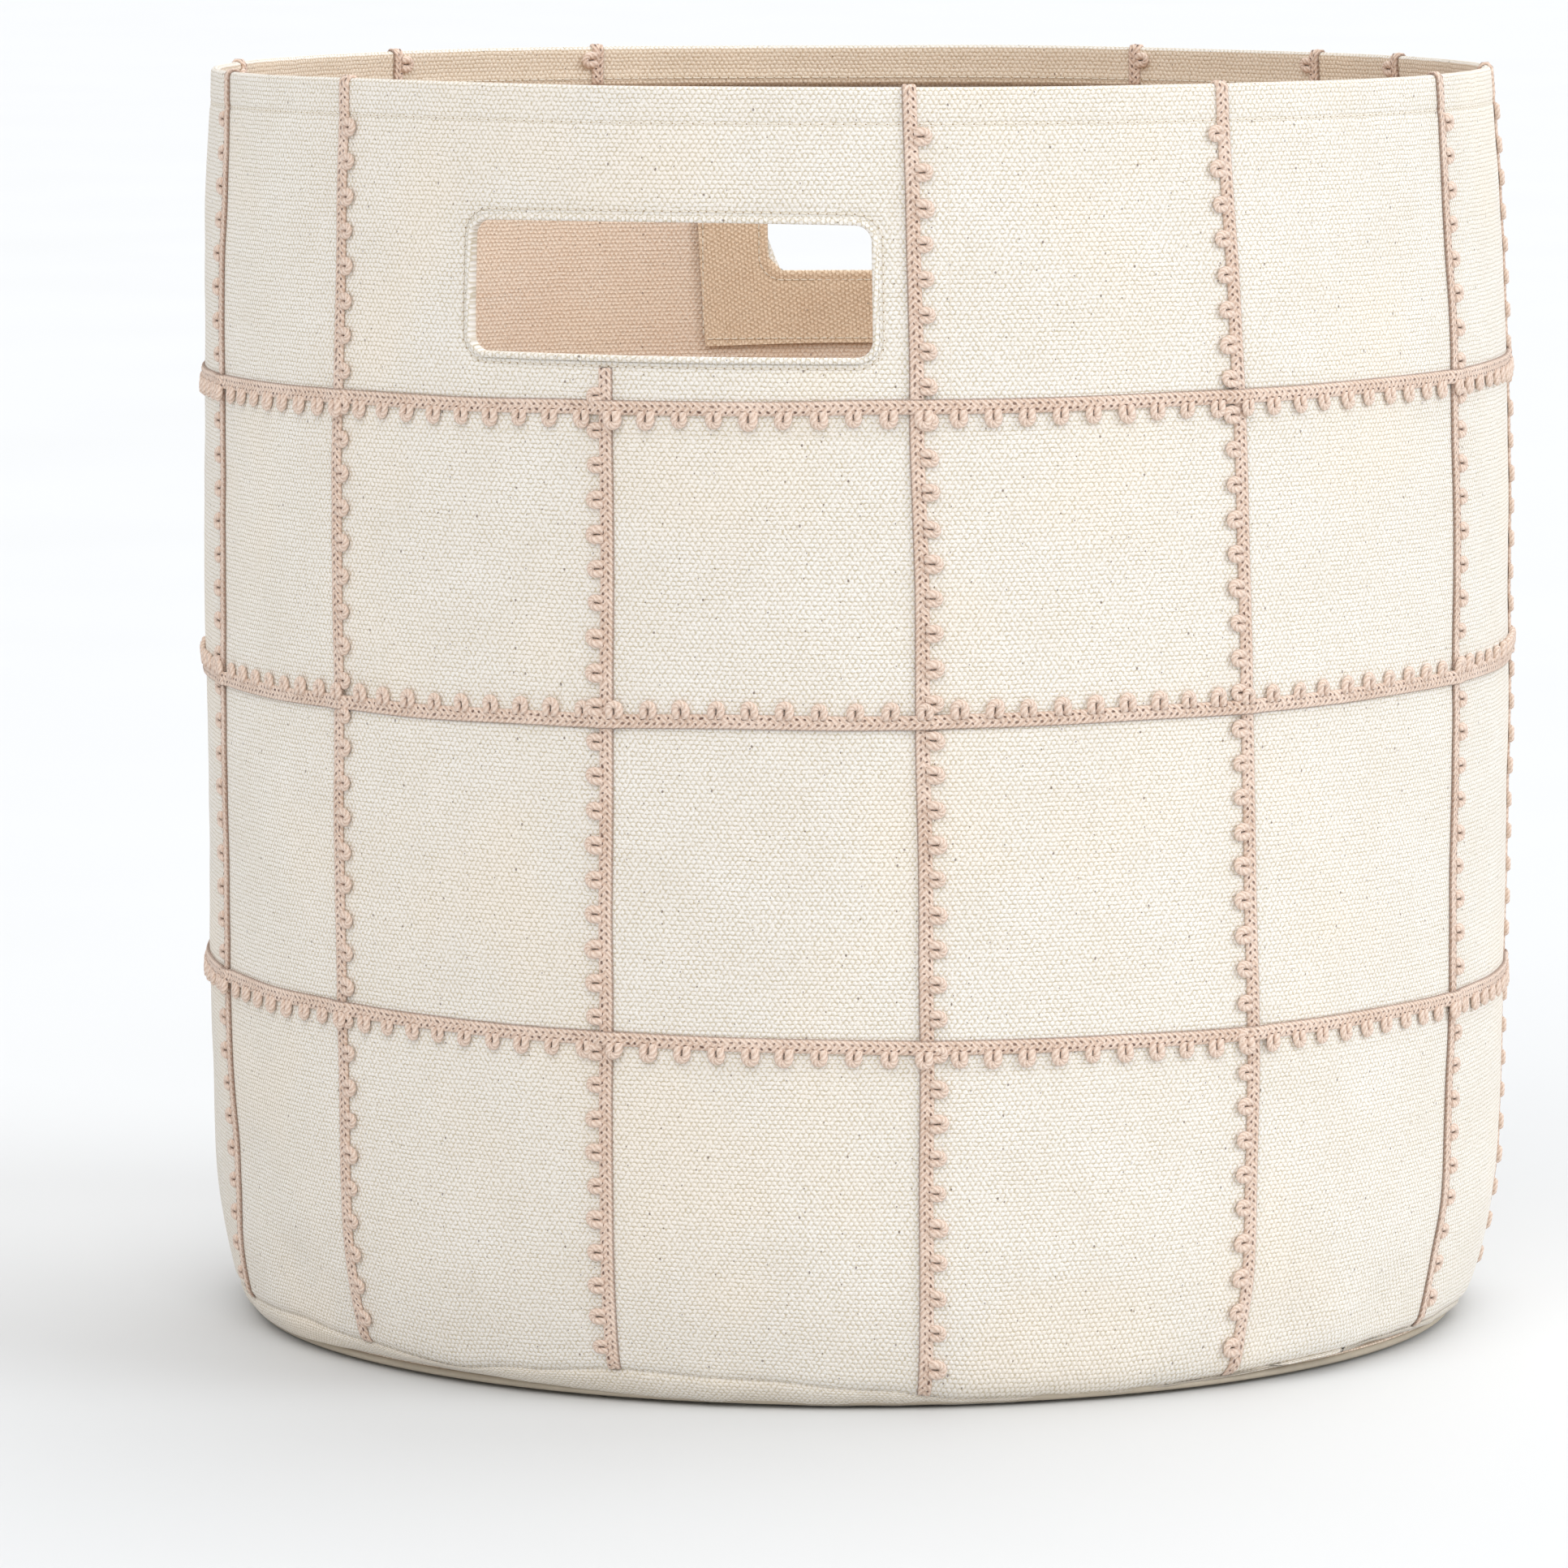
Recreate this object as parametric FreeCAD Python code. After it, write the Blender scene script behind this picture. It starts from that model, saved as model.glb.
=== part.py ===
import FreeCAD, Part
import math
import os

# A round storage bin of heavy cotton canvas: a gently barrelled wall on a flat base, a hemmed
# rim, two hand slots with faced edges, and a grid of narrow picot tapes sewn on the outside.
#
# Frame: millimetres, +Z up, origin at the centre of the underside. The front hand slot faces -Y.
# An azimuth is measured from -Y towards +X, so it grows to the right of someone facing the wall.
#
# The outer face of the wall is the skin. Depth is measured square to it, inwards, so the
# canvas starts at depth 0 and whatever is sewn on the outside lies at a negative depth.

# Overall shape of the skin
HEIGHT = 400.0
BELLY_RADIUS = 210.0
BELLY_HEIGHT = 225.0
RIM_TUCK = 4.8  # how far the rim draws in from the belly
HEEL_TUCK = 1.3  # how far the top of the heel draws in from the belly
HEEL_HEIGHT = 56.0
HEEL_BEND = 170.0  # radius of the curve from the heel down to the floor

# Cloth, from the outside inwards
CANVAS = 0.8
INTERLINING = 0.7
LINING = 0.55
EASE = 0.05  # left between two layers

# Base
BASE_SEAM_HEIGHT = 7.5  # the base cloth is turned up this far
BASE_BOARD = 2.5
SEAM_THREAD = 0.5

# Rim
HEM_DEPTH = 13.5
HEM_STITCH_INSET = 2.5  # from the hem's free edge up to its stitching

# Hand slots
SLOT_WIDTH = 126.0  # straight across the opening
SLOT_HEIGHT = 39.2
SLOT_CORNER = 7.0
SLOT_DROP = 41.0  # from the rim down to the opening
SLOT_LIP = 0.3  # how far the turned edge stands out from the skin
TOPSTITCH_GAP = 3.3  # from the opening out to its stitching
FACING_MARGIN = 27.0  # cloth around the opening, at its sides and below it
FACING_STITCH_INSET = 2.0
FACING_HEM_GAP = 1.0  # between the facing's upper edge and the hem
HANDLES = {"front": 0.0, "rear": 186.6}  # azimuths

# Thread
THREAD_WIDTH = 0.6
THREAD_PROUD = 0.3

# Picot tapes: a flat band with a row of loops along one edge
TAPE_BAND = 4.0
PICOT_REACH = 4.0
TAPE_THICKNESS = 1.3
ROWS = (  # name, drop of the band's middle from the slots or the row above, side of the loops
    ("upper", 14.7, -1),
    ("middle", 94.1, 1),
    ("lower", 97.8, -1),
)
COLUMNS = (  # azimuth of the band's middle, side the loops are on
    (-55.9, -1),
    (-33.0, 1),
    (-5.0, -1),
    (21.4, 1),
    (50.3, -1),
    (78.8, 1),
    (106.0, -1),
    (133.4, 1),
    (145.8, 1),
    (167.4, -1),
    (195.0, -1),
    (221.6, 1),
    (244.9, -1),
    (274.6, 1),
)

# Depths of the layers
INTERLINING_DEPTH = CANVAS + EASE
LINING_DEPTH = INTERLINING_DEPTH + INTERLINING + EASE
FACING_DEPTH = LINING_DEPTH + LINING + EASE
WALL = FACING_DEPTH + CANVAS

# Heights
SLOT_TOP = HEIGHT - SLOT_DROP
SLOT_BOTTOM = SLOT_TOP - SLOT_HEIGHT
HEM_EDGE = HEIGHT - HEM_DEPTH
BOARD_BOTTOM = CANVAS + EASE
BASE_LINING_BOTTOM = BOARD_BOTTOM + BASE_BOARD + EASE
LINING_BOTTOM = BASE_LINING_BOTTOM + LINING + EASE

ORIGIN = FreeCAD.Vector(0, 0, 0)
UP = FreeCAD.Vector(0, 0, 1)


# ---- The skin: three arcs in the plane of a radius and the axis, each tangent to the next ----


def bend_for(rise, tuck):
    """Radius of the arc that leaves the belly upright and draws in by tuck over rise."""
    return (rise**2 + tuck**2) / (2 * tuck)


UPPER_BEND = bend_for(HEIGHT - BELLY_HEIGHT, RIM_TUCK)
LOWER_BEND = bend_for(BELLY_HEIGHT - HEEL_HEIGHT, HEEL_TUCK)
HEEL_SINE = (HEEL_HEIGHT - BELLY_HEIGHT) / LOWER_BEND  # lean of the skin at the heel
HEEL_COSINE = math.sqrt(1 - HEEL_SINE**2)
ARCS = (  # radius and height of the centre, and the bend, lowest arc first
    (
        BELLY_RADIUS - HEEL_TUCK - HEEL_BEND * HEEL_COSINE,
        HEEL_HEIGHT - HEEL_BEND * HEEL_SINE,
        HEEL_BEND,
    ),
    (BELLY_RADIUS - LOWER_BEND, BELLY_HEIGHT, LOWER_BEND),
    (BELLY_RADIUS - UPPER_BEND, BELLY_HEIGHT, UPPER_BEND),
)


def arc_joins(depth):
    """Heights where one arc gives way to the next, at a depth."""
    return HEEL_HEIGHT - depth * HEEL_SINE, BELLY_HEIGHT


def radius_at(height, depth):
    """Distance from the axis to the surface at a depth, at a height."""
    heel, belly = arc_joins(depth)
    centre_radius, centre_height, bend = ARCS[(height > heel) + (height > belly)]
    return centre_radius + math.sqrt((bend - depth) ** 2 - (height - centre_height) ** 2)


def point(height, depth):
    return FreeCAD.Vector(radius_at(height, depth), 0, height)


def line(start, end):
    return Part.LineSegment(start, end).toShape()


def surface(depth, bottom, top):
    """Edges along the surface at a depth, from a height up to another."""
    stops = [bottom] + [z for z in arc_joins(depth) if bottom < z < top] + [top]
    return [
        Part.Arc(point(low, depth), point((low + high) / 2, depth), point(high, depth)).toShape()
        for low, high in zip(stops, stops[1:])
    ]


def across(height, depth, other_depth):
    return line(point(height, depth), point(height, other_depth))


# ---- Solids ----


def turned(edges, azimuth=0.0, sweep=360.0):
    """Solid of a closed outline turned about the axis, centred on an azimuth."""
    face = Part.Face(Part.Wire(Part.__sortEdges__(edges)))
    face.rotate(ORIGIN, UP, azimuth - 90 - sweep / 2)
    return face.revolve(ORIGIN, UP, sweep)


def layer(outer, inner, bottom, top, **where):
    """The wall between two depths and two heights."""
    edges = surface(outer, bottom, top) + surface(inner, bottom, top)
    edges += [across(bottom, outer, inner), across(top, outer, inner)]
    return turned(edges, **where)


def disc(depth, bottom, top):
    """Everything inside the surface at a depth, between two heights."""
    low_centre = FreeCAD.Vector(0, 0, bottom)
    high_centre = FreeCAD.Vector(0, 0, top)
    edges = surface(depth, bottom, top)
    edges += [line(low_centre, point(bottom, depth)), line(high_centre, point(top, depth))]
    edges.append(line(low_centre, high_centre))
    return turned(edges)


RIM_CENTRE_HEIGHT = HEIGHT - WALL / 2
RIM_SINE = (RIM_CENTRE_HEIGHT - BELLY_HEIGHT) / (UPPER_BEND - WALL / 2)
RIM_CENTRE = point(RIM_CENTRE_HEIGHT, WALL / 2)
RIM_ALONG = FreeCAD.Vector(-RIM_SINE, 0, math.sqrt(1 - RIM_SINE**2))


def over_the_rim(depth, bottom, inner_bottom):
    """Edges of a path up the outside, round the rim and down the inside."""
    inner_depth = WALL - depth
    outer_end = BELLY_HEIGHT + (UPPER_BEND - depth) * RIM_SINE
    inner_end = BELLY_HEIGHT + (UPPER_BEND - inner_depth) * RIM_SINE
    crest = RIM_CENTRE + RIM_ALONG * (WALL / 2 - depth)
    turn = Part.Arc(point(outer_end, depth), crest, point(inner_end, inner_depth)).toShape()
    outside = surface(depth, bottom, outer_end)
    return outside + [turn] + surface(inner_depth, inner_bottom, inner_end)


def folded_strip(outer, inner, bottom, inner_bottom, **where):
    """A cloth of two depths that comes up the outside and is folded down inside the rim."""
    edges = over_the_rim(outer, bottom, inner_bottom) + over_the_rim(inner, bottom, inner_bottom)
    edges.append(across(bottom, outer, inner))
    edges.append(across(inner_bottom, WALL - outer, WALL - inner))
    return turned(edges, **where)


def upright_block(half_width, bottom, top, corner):
    """A block that crosses the wall at the front, with its upright edges' corners rounded."""
    inside = -BELLY_RADIUS / 2
    length = BELLY_RADIUS
    block = Part.makeBox(
        2 * half_width,
        length,
        top - bottom,
        FreeCAD.Vector(-half_width, inside - length, bottom),
    )
    along_y = [e for e in block.Edges if abs(e.tangentAt(e.FirstParameter).y) > 0.99]
    return block.makeFillet(corner, along_y)


def slot_block(growth):
    """The hand slot's opening, grown by a distance on every side."""
    return upright_block(
        SLOT_WIDTH / 2 + growth, SLOT_BOTTOM - growth, SLOT_TOP + growth, SLOT_CORNER + growth
    )


def facing_block(growth):
    """The facing's rectangle, grown by a distance on every side."""
    return upright_block(
        SLOT_WIDTH / 2 + FACING_MARGIN + growth,
        SLOT_BOTTOM - FACING_MARGIN - growth,
        HEM_EDGE - FACING_HEM_GAP + growth,
        SLOT_CORNER + growth,
    )


def thread_round(block, place, room=0.0):
    """Thread on the skin along what block(place) outlines, or with room, the groove for it."""
    half = THREAD_WIDTH / 2 + room
    inner = CANVAS if room else 0
    skin = layer(-THREAD_PROUD - room, inner, SLOT_BOTTOM - 2 * FACING_MARGIN, HEM_EDGE)
    return skin.common(block(place + half).cut(block(place - half)))


def rim_thread(room=0.0):
    """The hem's thread on the skin, or with room, the groove for it."""
    half = THREAD_WIDTH / 2 + room
    middle = HEM_EDGE + HEM_STITCH_INSET
    return layer(-THREAD_PROUD - room, CANVAS if room else 0, middle - half, middle + half)


def without(shape, tools):
    """The shape with each tool that reaches it cut away."""
    for tool in tools:
        if shape.BoundBox.intersect(tool.BoundBox):
            shape = shape.cut(tool)
    return shape


def at_handle(shape, handle):
    moved = shape.copy()
    moved.rotate(ORIGIN, UP, HANDLES[handle])
    return moved


# ---- Pieces ----

pieces = {}

# Wall: each layer has both slots, with room for the facings' turned edges.
slot_cuts = [at_handle(slot_block(CANVAS + EASE), handle) for handle in HANDLES]
seam_half = SEAM_THREAD / 2 + EASE
wall_top = RIM_CENTRE_HEIGHT

outer_wall = folded_strip(0, CANVAS, BASE_SEAM_HEIGHT + seam_half, HEM_EDGE)
interlining = layer(
    INTERLINING_DEPTH, INTERLINING_DEPTH + INTERLINING, BOARD_BOTTOM, wall_top
)
lining = layer(LINING_DEPTH, LINING_DEPTH + LINING, LINING_BOTTOM, wall_top)
pieces["outer_wall"] = without(outer_wall, slot_cuts)
pieces["wall_interlining"] = without(interlining, slot_cuts)
pieces["wall_lining"] = without(lining, slot_cuts)

# Base: a cloth turned up outside the wall's foot, a stiffener inside the interlining, a lining.
base_edge = BASE_SEAM_HEIGHT - seam_half
base_dish = disc(0, 0, base_edge)
pieces["base_cloth"] = base_dish.cut(disc(CANVAS, CANVAS, base_edge + 1))
pieces["base_board"] = disc(LINING_DEPTH, BOARD_BOTTOM, BOARD_BOTTOM + BASE_BOARD)
pieces["base_lining"] = disc(LINING_DEPTH, BASE_LINING_BOTTOM, BASE_LINING_BOTTOM + LINING)

# Thread. The base seam's thread lies within the canvas, between the wall and the base cloth.
thread_depth = (CANVAS - SEAM_THREAD) / 2
pieces["base_seam_stitching"] = layer(
    thread_depth,
    thread_depth + SEAM_THREAD,
    BASE_SEAM_HEIGHT - SEAM_THREAD / 2,
    BASE_SEAM_HEIGHT + SEAM_THREAD / 2,
)
pieces["rim_stitching"] = rim_thread()
slot_thread = thread_round(slot_block, TOPSTITCH_GAP)
facing_thread = thread_round(facing_block, -FACING_STITCH_INSET)

# Facings: a patch inside the wall, whose inner edge is turned out through the slot.
patch_room = layer(FACING_DEPTH, WALL, SLOT_BOTTOM - 2 * FACING_MARGIN, HEM_EDGE)
patch = patch_room.common(facing_block(0))
edge_room = layer(-SLOT_LIP, WALL, SLOT_BOTTOM - FACING_MARGIN, HEM_EDGE)
turned_edge = edge_room.common(slot_block(CANVAS))
facing = patch.fuse(turned_edge).cut(slot_block(0)).removeSplitter()

for handle in HANDLES:
    pieces[f"{handle}_handle_facing"] = at_handle(facing, handle)
    pieces[f"{handle}_handle_stitching"] = at_handle(slot_thread, handle)
    pieces[f"{handle}_facing_stitching"] = at_handle(facing_thread, handle)


# Tapes: they cover the threads that they cross, and the rows run over the columns.


def degrees(length):
    """Angle that a length along the skin covers at the belly."""
    return math.degrees(length / BELLY_RADIUS)


def under_a_slot(azimuth, loops):
    """Whether a column would run into a hand slot or the lip round it."""
    half_angle = math.degrees(math.asin((SLOT_WIDTH / 2 + TOPSTITCH_GAP) / BELLY_RADIUS))
    for handle_azimuth in HANDLES.values():
        away = (azimuth - handle_azimuth + 180) % 360 - 180
        reach = TAPE_BAND / 2 + (PICOT_REACH if loops * away < 0 else 0)
        if abs(away) < half_angle + degrees(reach):
            return True
    return False


def column(azimuth, loops, growth=0.0):
    """A tape from the base seam up; growth widens and thickens it on every side."""
    where = {
        "azimuth": azimuth + loops * degrees(PICOT_REACH / 2),
        "sweep": degrees(TAPE_BAND + PICOT_REACH + 2 * growth),
    }
    outer = -TAPE_THICKNESS - growth
    if under_a_slot(azimuth, loops):
        top = SLOT_BOTTOM - TOPSTITCH_GAP - THREAD_WIDTH
        return layer(outer, 0, BASE_SEAM_HEIGHT, top, **where)
    return folded_strip(outer, 0, BASE_SEAM_HEIGHT, HEM_EDGE, **where)


grooves = [rim_thread(EASE)]
for handle in HANDLES:
    grooves.append(at_handle(thread_round(slot_block, TOPSTITCH_GAP, EASE), handle))
    grooves.append(at_handle(thread_round(facing_block, -FACING_STITCH_INSET, EASE), handle))

for number, (azimuth, loops) in enumerate(COLUMNS, 1):
    pieces[f"tape_column_{number:02d}"] = without(column(azimuth, loops), grooves)

crossed = [column(azimuth, loops, EASE) for azimuth, loops in COLUMNS]
band_height = SLOT_BOTTOM
for name, drop, loops in ROWS:
    band_height -= drop
    middle = band_height + loops * PICOT_REACH / 2
    half = (TAPE_BAND + PICOT_REACH) / 2
    row = layer(-TAPE_THICKNESS, 0, middle - half, middle + half)
    humps = [
        layer(
            -2 * TAPE_THICKNESS - EASE,
            -TAPE_THICKNESS / 2,
            middle - half,
            middle + half,
            azimuth=azimuth + side * degrees(PICOT_REACH / 2),
            sweep=degrees(TAPE_BAND + PICOT_REACH + 2 * TAPE_THICKNESS),
        )
        for azimuth, side in COLUMNS
    ]
    pieces[f"tape_row_{name}"] = without(without(row.fuse(humps), crossed), grooves)

os.makedirs("parts", exist_ok=True)
for name, shape in pieces.items():
    shape.exportStep(f"parts/{name}.step")
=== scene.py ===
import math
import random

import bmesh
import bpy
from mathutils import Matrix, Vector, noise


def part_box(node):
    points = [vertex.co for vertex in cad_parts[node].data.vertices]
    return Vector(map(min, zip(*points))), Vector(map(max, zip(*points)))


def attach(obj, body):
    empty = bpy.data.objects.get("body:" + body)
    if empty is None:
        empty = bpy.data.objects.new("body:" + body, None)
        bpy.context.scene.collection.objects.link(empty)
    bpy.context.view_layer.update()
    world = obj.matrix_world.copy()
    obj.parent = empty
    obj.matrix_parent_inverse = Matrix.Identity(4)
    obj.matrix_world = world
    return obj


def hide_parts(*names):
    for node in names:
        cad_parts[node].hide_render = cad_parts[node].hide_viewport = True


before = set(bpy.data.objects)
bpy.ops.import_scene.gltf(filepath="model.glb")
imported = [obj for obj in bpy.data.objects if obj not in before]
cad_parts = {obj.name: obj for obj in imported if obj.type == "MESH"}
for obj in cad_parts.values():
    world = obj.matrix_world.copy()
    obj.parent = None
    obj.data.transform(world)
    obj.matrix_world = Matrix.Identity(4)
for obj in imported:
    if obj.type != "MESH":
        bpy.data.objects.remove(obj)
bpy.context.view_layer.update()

# %% [markdown]
# # A round canvas bin with picot tapes
#
# The bin is sewn from flat cloth: a wall that is folded over the rim and hemmed, a lining, a
# base, and faced hand slots. Narrow picot tapes are sewn over the outside in a grid. Every piece
# here is first made flat, as it is cut, and then wrapped onto the shape that the bin stands in.
# So each cloth keeps its flat measure in its UV map, and its weave runs true over folds and seams.

MM = 0.001
wall_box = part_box("outer_wall")
HEIGHT = wall_box[1][2]
BELLY_RADIUS = 210.0 * MM
ROUND = 2 * math.pi * BELLY_RADIUS
print("height", round(HEIGHT, 4), "radius", round(wall_box[1][0], 4))

# %% [markdown]
# ## The shape that the bin stands in
#
# The wall is a soft barrel: widest a little above the middle, drawn in slightly at the rim, and
# rolled under at the heel, where it meets the floor. One function gives the radius at a height. A
# second adds what cloth does on top of that: long soft waves, puckers along the base seam and a
# few dents. Every layer and every trim uses the same two, so nothing comes apart or pokes through.

# %% The barrel and its waves
BELLY_HEIGHT = 225.0 * MM
RIM_TUCK = 4.8 * MM
HEEL_TUCK = 1.3 * MM
HEEL_HEIGHT = 56.0 * MM
HEEL_BEND = 170.0 * MM
SEAM_HEIGHT = 7.5 * MM  # the base seam, where it isn't pulled up or down
CREASE = 0.9 * MM  # how deep the base seam is drawn in
ROLL_HEIGHT = 11.0 * MM  # the lowest edge turns under in a soft roll
ROLL_REACH = 8.5 * MM
HEM_STITCH = HEIGHT - 11.0 * MM
EYE_AZIMUTH = math.radians(15.86)  # the main view's, from the front slot's middle


def bump(distance, width):
    """1 at no distance, falling smoothly to 0 over the width."""
    return math.exp(-((distance / width) ** 2))


def turn_between(azimuth, other):
    """Signed angle from one azimuth to another, the short way round."""
    return (azimuth - other + math.pi) % (2 * math.pi) - math.pi


def skin_radius(height):
    """Radius of the canvas's outer face at a height, before waves."""
    if height > BELLY_HEIGHT:
        share = (height - BELLY_HEIGHT) / (HEIGHT - BELLY_HEIGHT)
        return BELLY_RADIUS - RIM_TUCK * share**2
    share = (BELLY_HEIGHT - height) / (BELLY_HEIGHT - HEEL_HEIGHT)
    radius = BELLY_RADIUS - HEEL_TUCK * share**2
    heel = max(0.0, HEEL_HEIGHT - height)
    radius -= HEEL_BEND - math.sqrt(HEEL_BEND**2 - heel**2)
    turn = min(1.0, max(0.0, 1 - height / ROLL_HEIGHT))
    return radius - ROLL_REACH * (1 - math.sqrt(1 - turn**2))


SEAM_LEVELS = (  # azimuth seen from the main view, height of the base seam in mm
    (-180, 6.5), (-120, 7.5), (-75, 9.5), (-60, 8.8), (-50, 5.5), (-38, 2.6), (-30, 5.8),
    (-20, 9.4), (-8, 8.8), (2, 6.2), (10, 2.6), (25, 1.2), (45, 1.2), (60, 2.5), (75, 4.0),
    (120, 6.0), (180, 6.5),
)


def seam_level(azimuth):
    """Height of the base seam: the base cloth shows under the wall by more or less."""
    seen = math.degrees(turn_between(azimuth, EYE_AZIMUTH))
    for (a, low), (b, high) in zip(SEAM_LEVELS, SEAM_LEVELS[1:]):
        if a <= seen <= b:
            share = (seen - a) / (b - a)
            return (low + (high - low) * share * share * (3 - 2 * share)) * MM
    return SEAM_HEIGHT


def lifted(azimuth, height):
    """How far the soft bottom edge stands clear of the floor, at one side."""
    seen = turn_between(azimuth, EYE_AZIMUTH)
    left = bump(seen - math.radians(-44), math.radians(26))
    right = bump(seen - math.radians(54), math.radians(24))
    edge = (4.6 * left + 6.0 * right) * MM
    return edge * math.exp(-max(0.0, height) / (28 * MM))


def settle(azimuth, height):
    """Shifts heights near the floor, so that the base seam rises and dips along its way."""
    level = seam_level(azimuth)
    if height <= SEAM_HEIGHT:
        return height * level / SEAM_HEIGHT + lifted(azimuth, height)
    fade = math.exp(-(height - SEAM_HEIGHT) / (22 * MM))
    return height + (level - SEAM_HEIGHT) * fade + lifted(azimuth, height)


DENTS = (  # azimuth from the main view in degrees, height, depth, width across, width up, in mm
    (-66, 52, -2.6, 26, 20),
    (-58, 28, -1.6, 15, 10),
    (-79, 40, -2.0, 20, 22),
    (-30, 30, 0.9, 40, 18),
    (20, 26, -0.8, 30, 14),
    (40, 20, -1.6, 14, 10),
    (47, 17, 1.3, 10, 9),
    (54, 22, -1.5, 12, 12),
    (64, 30, -1.6, 16, 18),
    (8, 335, -0.7, 14, 30),
    (-38, 338, 0.7, 16, 26),
    (-14, 372, 0.6, 45, 10),
)


def waves(azimuth, height):
    """How far the cloth stands out from, or in from, the plain barrel."""
    x, y = math.sin(azimuth), -math.cos(azimuth)
    place = Vector((x * BELLY_RADIUS, y * BELLY_RADIUS, height))
    out = 0.0016 * noise.noise(place / 0.13 + Vector((3.1, 0, 0)))
    out += 0.0007 * noise.noise(place / 0.045)
    out += 0.00022 * noise.noise(place / 0.016 + Vector((0, 7.7, 0)))
    puckers = noise.noise(Vector((azimuth * BELLY_RADIUS / 0.013, height / 0.05, 1.5)))
    out += 0.0011 * puckers * math.exp(-max(0.0, height - 4 * MM) / (13 * MM))
    seen = turn_between(azimuth, EYE_AZIMUTH)
    for degrees, level, depth, across, up in DENTS:
        away = turn_between(seen, math.radians(degrees)) * BELLY_RADIUS
        if abs(away) < 3 * across * MM:
            out += depth * MM * bump(away, across * MM) * bump(height - level * MM, up * MM)
    out -= 0.00035 * bump(height - HEM_STITCH, 1.1 * MM)
    return out


def lean(height):
    """Sideways shift of the whole round, because the cloth doesn't stand quite upright."""
    share = height / HEIGHT
    shift = (0.9 * math.sin(math.pi * share) - 1.0 * share**3) * MM
    return Vector((math.cos(EYE_AZIMUTH) * shift, math.sin(EYE_AZIMUTH) * shift, 0))


def rim_level(azimuth):
    """How far the rim dips or rises round the bin."""
    return 0.0009 * noise.noise(Vector((math.sin(azimuth) * 1.6, math.cos(azimuth) * 1.6, 5.0)))


def stand(azimuth, height, depth):
    """A point of the standing bin, depth behind the canvas's outer face."""
    level = settle(azimuth, height)
    radius = skin_radius(max(level, 0.0)) + waves(azimuth, level) - depth
    level += rim_level(azimuth) * max(0.0, height / HEIGHT) ** 4
    spot = Vector((radius * math.sin(azimuth), -radius * math.cos(azimuth), level))
    return spot + lean(level)


print("rim radius", round(skin_radius(HEIGHT), 4), "foot radius", round(skin_radius(0), 4))

# %% [markdown]
# ## Flat cloth
#
# A cloth starts as a flat grid: x runs round the bin, z up it, and y is how deep a point lies in
# the wall. The grid's lines are set where seams, folds and stitches need them. Hand slots are
# opened while the cloth is flat, by taking out a window of faces and extruding rings of edges from
# its rim in to the slot, so that the faces follow the rounded corners. A boolean cut would be
# shorter to write, but it leaves slivers that show as soon as the cloth is bent.

# %% Grids and slots
CANVAS = 0.8 * MM
WALL = 3.0 * MM  # all layers together
SLOT_WIDTH = 128.0 * MM  # along the cloth
SLOT_HEIGHT = 39.2 * MM
SLOT_CORNER = 5.0 * MM
SLOT_MIDDLE = HEIGHT - 41.0 * MM - SLOT_HEIGHT / 2
SLOT_BOW = 0.7 * MM
WINDOW = 11.0 * MM  # cloth around a slot that is laid in rings
HANDLES = {"front": 0.0, "rear": math.radians(186.6) - 2 * math.pi}
REAR_RISE = 2.5 * MM  # the rear slot is sewn a little nearer to the rim
SEAM_AZIMUTH = math.radians(145.8)  # where the wall's cloth is closed, under a tape


def steps(*stops, size):
    """Values from stop to stop, evenly spaced and no further apart than size."""
    values = [stops[0]]
    for start, end in zip(stops, stops[1:]):
        count = max(1, math.ceil(abs(end - start) / size - 1e-6))
        values += [start + (end - start) * i / count for i in range(1, count + 1)]
    return values


def flat_grid(columns, rows):
    """A flat cloth with its grid lines at the given places."""
    cloth = bmesh.new()
    cloth.loops.layers.uv.new("UVMap")
    across, up = len(columns) - 1, len(rows) - 1
    bmesh.ops.create_grid(cloth, x_segments=across, y_segments=up, size=0.5)
    for vert in cloth.verts:
        column, row = round((vert.co.x + 0.5) * across), round((vert.co.y + 0.5) * up)
        vert.co = (columns[column], 0.0, rows[row])
    return cloth


def slot_rise(middle):
    """How much nearer to the rim a slot is than the other."""
    return REAR_RISE if abs(middle) > 0.1 else 0.0


def slot_ring(co, growth):
    """Moves a flat point onto the slot's rounded outline, grown by a distance."""
    reach = Vector((SLOT_WIDTH / 2 - SLOT_CORNER, 0, SLOT_HEIGHT / 2 - SLOT_CORNER))
    inner = Vector((max(-reach.x, min(reach.x, co.x)), 0, max(-reach.z, min(reach.z, co.z))))
    away = Vector((co.x, 0, co.z)) - inner
    spot = inner + away.normalized() * (SLOT_CORNER + growth)
    if away.z > 0:
        spot.z += SLOT_BOW * (1 - min(1.0, abs(spot.x) / (SLOT_WIDTH / 2)) ** 2)
    return spot


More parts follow.
